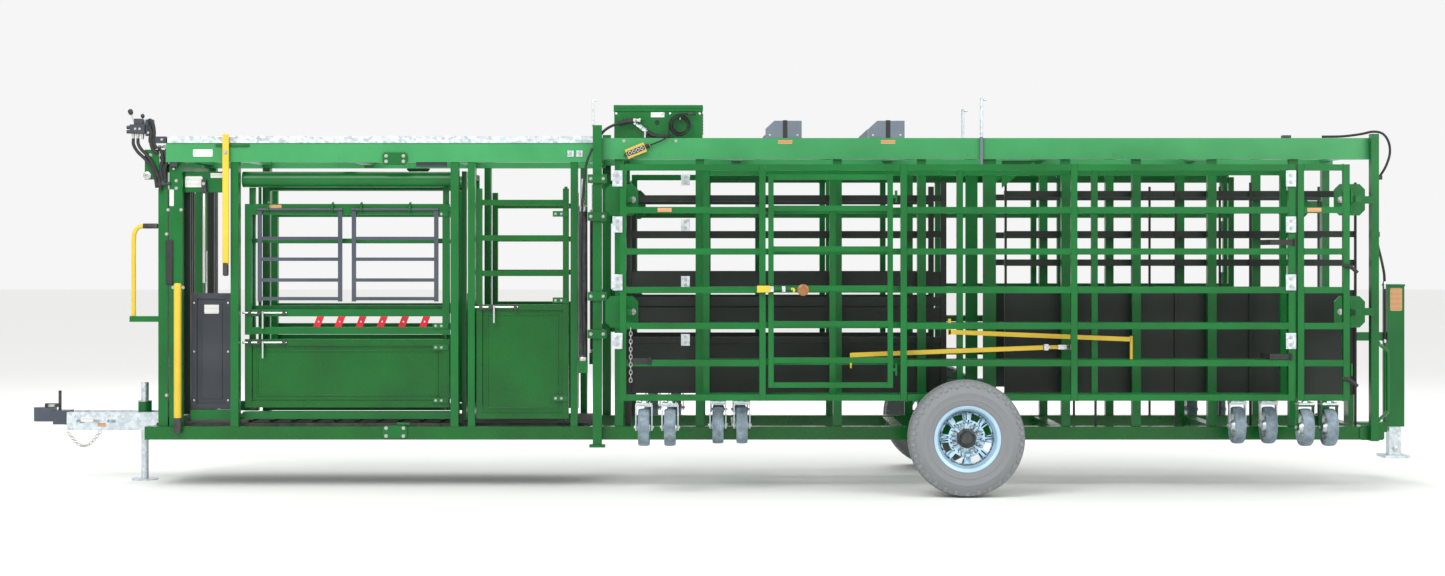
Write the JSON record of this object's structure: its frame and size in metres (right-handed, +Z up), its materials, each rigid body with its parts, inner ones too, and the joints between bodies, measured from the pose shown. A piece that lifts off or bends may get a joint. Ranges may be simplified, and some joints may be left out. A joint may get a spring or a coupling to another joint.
{
  "type": "portable cattle squeeze chute",
  "caption": "Towed livestock squeeze chute with headgate, side doors, tail gate, enclosed alley and stowed folding gates with caster wheels.",
  "frame": {"origin": "centre of the footprint on the ground", "axes": "+X from the coupler toward the rear jack, +Y to the far side, +Z up"},
  "size_m": [9.864, 2.535, 2.7],
  "materials": {
    "green_paint": "satin",
    "lower_green_paint": "satin",
    "shaded_green_paint": "satin",
    "galvanised": "satin",
    "grey_steel": "satin",
    "charcoal_paint": "matte",
    "yellow_paint": "gloss",
    "caster_rubber": "matte",
    "tyre_rubber": "matte",
    "black_plastic": "matte",
    "black_rubber": "matte",
    "yellow_plastic": "gloss"
  },
  "bodies": {
    "frame": {"base_frame": "lower_green_paint", "drawbar": "galvanised", "coupler": "grey_steel", "coupler_latch": "black_plastic", "floor_mat": "charcoal_paint", "chute_posts": "green_paint", "chute_top_beam": "green_paint", "roof_cap": "galvanised", "headgate_frame": "green_paint", "alley_top_beam": "green_paint", "alley_posts": "green_paint", "alley_wall_near": "shaded_green_paint", "alley_wall_far": "shaded_green_paint", "gate_hinges": "green_paint", "long_gate_near": "green_paint", "long_gate_far": "green_paint", "inner_gate_near": "green_paint", "caster_forks": "galvanised", "stay_bars": "yellow_paint", "stub_axles": "grey_steel", "power_box": "green_paint", "lift_cylinders": "galvanised", "stowage_hoods": "galvanised", "jack_sleeves": "green_paint", "pendant": "yellow_plastic", "pendant_cable": "black_rubber", "cable_coil": "black_rubber", "cable_plug": "black_plastic", "casters_far": "caster_rubber"},
    "wheel_near": {"tyre_near": "tyre_rubber", "rim_near": "galvanised"},
    "wheel_far": {"tyre_far": "tyre_rubber", "rim_far": "galvanised"},
    "front_jack": {"front_jack_leg": "galvanised"},
    "rear_jack": {"rear_jack_leg": "galvanised"},
    "mid_leg_near": {"mid_leg_near": "green_paint"},
    "mid_leg_far": {"mid_leg_far": "green_paint"},
    "head_leaf_near": {"head_leaf_near": "grey_steel"},
    "head_leaf_far": {"head_leaf_far": "grey_steel"},
    "tail_leaf_near": {"tail_leaf_near": "green_paint"},
    "tail_leaf_far": {"tail_leaf_far": "green_paint"},
    "headgate_lever": {"headgate_lever": "yellow_paint"},
    "squeeze_lever": {"squeeze_lever": "yellow_paint"},
    "neck_lever": {"neck_lever": "yellow_paint"},
    "neck_door": {"neck_door": "charcoal_paint"},
    "squeeze_side_near": {"squeeze_side_near": "green_paint"},
    "squeeze_side_far": {"squeeze_side_far": "green_paint"},
    "access_gate_near": {"access_gate_near": "green_paint"},
    "kick_door_near": {"kick_door_near": "lower_green_paint"},
    "needle_bars_front": {"needle_bars_front": "grey_steel"},
    "needle_bars_rear": {"needle_bars_rear": "grey_steel"},
    "palpation_door_near": {"palpation_door_near": "lower_green_paint"},
    "palpation_door_far": {"palpation_door_far": "lower_green_paint"},
    "walk_gate_near": {"walk_gate_near": "green_paint"},
    "end_gate_near": {"end_gate_near": "green_paint"},
    "casters_front": {"casters_front": "caster_rubber"},
    "casters_mid": {"casters_mid": "caster_rubber"},
    "casters_rear": {"casters_rear": "caster_rubber"},
    "casters_end": {"casters_end": "caster_rubber"}
  },
  "joints": [
    {"name": "wheel_near_spin", "type": "hinge", "parent": "frame", "child": "wheel_near", "pos_m": [1.646, -1.15, 0.391], "axis": [0, 1, 0], "continuous": true},
    {"name": "wheel_far_spin", "type": "hinge", "parent": "frame", "child": "wheel_far", "pos_m": [1.646, 1.15, 0.391], "axis": [0, 1, 0], "continuous": true},
    {"name": "front_jack_slide", "type": "slide", "parent": "frame", "child": "front_jack", "axis": [0, 0, -1], "range_m": [0, 0.25]},
    {"name": "rear_jack_slide", "type": "slide", "parent": "frame", "child": "rear_jack", "axis": [0, 0, -1], "range_m": [0, 0.16]},
    {"name": "mid_leg_near_slide", "type": "slide", "parent": "frame", "child": "mid_leg_near", "axis": [0, 0, -1], "range_m": [0, 0.28]},
    {"name": "mid_leg_far_slide", "type": "slide", "parent": "frame", "child": "mid_leg_far", "axis": [0, 0, -1], "range_m": [0, 0.28]},
    {"name": "head_leaf_near_slide", "type": "slide", "parent": "frame", "child": "head_leaf_near", "axis": [0, 1, 0], "range_m": [0, 0.28]},
    {"name": "head_leaf_far_slide", "type": "slide", "parent": "frame", "child": "head_leaf_far", "axis": [0, -1, 0], "range_m": [0, 0.28]},
    {"name": "tail_leaf_near_slide", "type": "slide", "parent": "frame", "child": "tail_leaf_near", "axis": [0, -1, 0], "range_m": [0, 0.36]},
    {"name": "tail_leaf_far_slide", "type": "slide", "parent": "frame", "child": "tail_leaf_far", "axis": [0, 1, 0], "range_m": [0, 0.36]},
    {"name": "headgate_lever_hinge", "type": "hinge", "parent": "frame", "child": "headgate_lever", "pos_m": [-4.078, -0.53, 1.17], "axis": [0, 1, 0], "range_deg": [-40, 0]},
    {"name": "squeeze_lever_hinge", "type": "hinge", "parent": "frame", "child": "squeeze_lever", "pos_m": [-3.416, -0.632, 2.324], "axis": [0, 1, 0], "range_deg": [-55, 5]},
    {"name": "neck_lever_hinge", "type": "hinge", "parent": "frame", "child": "neck_lever", "pos_m": [-3.748, -0.59, 1.385], "axis": [0, 1, 0], "range_deg": [-50, 0]},
    {"name": "neck_door_slide", "type": "slide", "parent": "frame", "child": "neck_door", "axis": [0, 0, 1], "range_m": [0, 0.55]},
    {"name": "squeeze_side_near_hinge", "type": "hinge", "parent": "frame", "child": "squeeze_side_near", "pos_m": [-2.6, -0.465, 0.478], "axis": [1, 0, 0], "range_deg": [-10, 0]},
    {"name": "squeeze_side_far_hinge", "type": "hinge", "parent": "frame", "child": "squeeze_side_far", "pos_m": [-2.6, 0.465, 0.478], "axis": [1, 0, 0], "range_deg": [0, 10]},
    {"name": "access_gate_near_hinge", "type": "hinge", "parent": "squeeze_side_near", "child": "access_gate_near", "pos_m": [-1.912, -0.465, 1.5], "axis": [0, 0, 1], "range_deg": [0, 90]},
    {"name": "kick_door_near_hinge", "type": "hinge", "parent": "squeeze_side_near", "child": "kick_door_near", "pos_m": [-1.912, -0.465, 0.79], "axis": [0, 0, 1], "range_deg": [0, 90]},
    {"name": "needle_bars_front_hinge", "type": "hinge", "parent": "access_gate_near", "child": "needle_bars_front", "pos_m": [-2.93, -0.5, 1.932], "axis": [1, 0, 0], "range_deg": [-100, 0]},
    {"name": "needle_bars_rear_hinge", "type": "hinge", "parent": "access_gate_near", "child": "needle_bars_rear", "pos_m": [-2.26, -0.5, 1.932], "axis": [1, 0, 0], "range_deg": [-100, 0]},
    {"name": "palpation_door_near_hinge", "type": "hinge", "parent": "frame", "child": "palpation_door_near", "pos_m": [-1.07, -0.55, 1.2], "axis": [0, 0, 1], "range_deg": [0, 90]},
    {"name": "palpation_door_far_hinge", "type": "hinge", "parent": "frame", "child": "palpation_door_far", "pos_m": [-1.07, 0.55, 1.2], "axis": [0, 0, 1], "range_deg": [-90, 0]},
    {"name": "walk_gate_near_hinge", "type": "hinge", "parent": "frame", "child": "walk_gate_near", "pos_m": [1.19, -1, 1.4], "axis": [0, 0, 1], "range_deg": [0, 90]},
    {"name": "end_gate_near_hinge", "type": "hinge", "parent": "frame", "child": "end_gate_near", "pos_m": [4.262, -1, 1.4], "axis": [0, 0, 1], "range_deg": [0, 90]},
    {"name": "casters_front_spin", "type": "hinge", "parent": "frame", "child": "casters_front", "pos_m": [-0.424, -1, 0.452], "axis": [1, 0, 0], "continuous": true},
    {"name": "casters_mid_spin", "type": "hinge", "parent": "frame", "child": "casters_mid", "pos_m": [0.069, -0.8, 0.452], "axis": [1, 0, 0], "continuous": true},
    {"name": "casters_rear_spin", "type": "hinge", "parent": "frame", "child": "casters_rear", "pos_m": [3.643, -0.8, 0.452], "axis": [1, 0, 0], "continuous": true},
    {"name": "casters_end_spin", "type": "hinge", "parent": "end_gate_near", "child": "casters_end", "pos_m": [4.03, -1, 0.452], "axis": [1, 0, 0], "continuous": true}
  ],
  "couplings": [
    {"joint": "head_leaf_far_slide", "follows": "head_leaf_near_slide", "ratio": 1},
    {"joint": "tail_leaf_far_slide", "follows": "tail_leaf_near_slide", "ratio": 1},
    {"joint": "mid_leg_far_slide", "follows": "mid_leg_near_slide", "ratio": 1},
    {"joint": "squeeze_side_far_hinge", "follows": "squeeze_side_near_hinge", "ratio": -1}
  ]
}
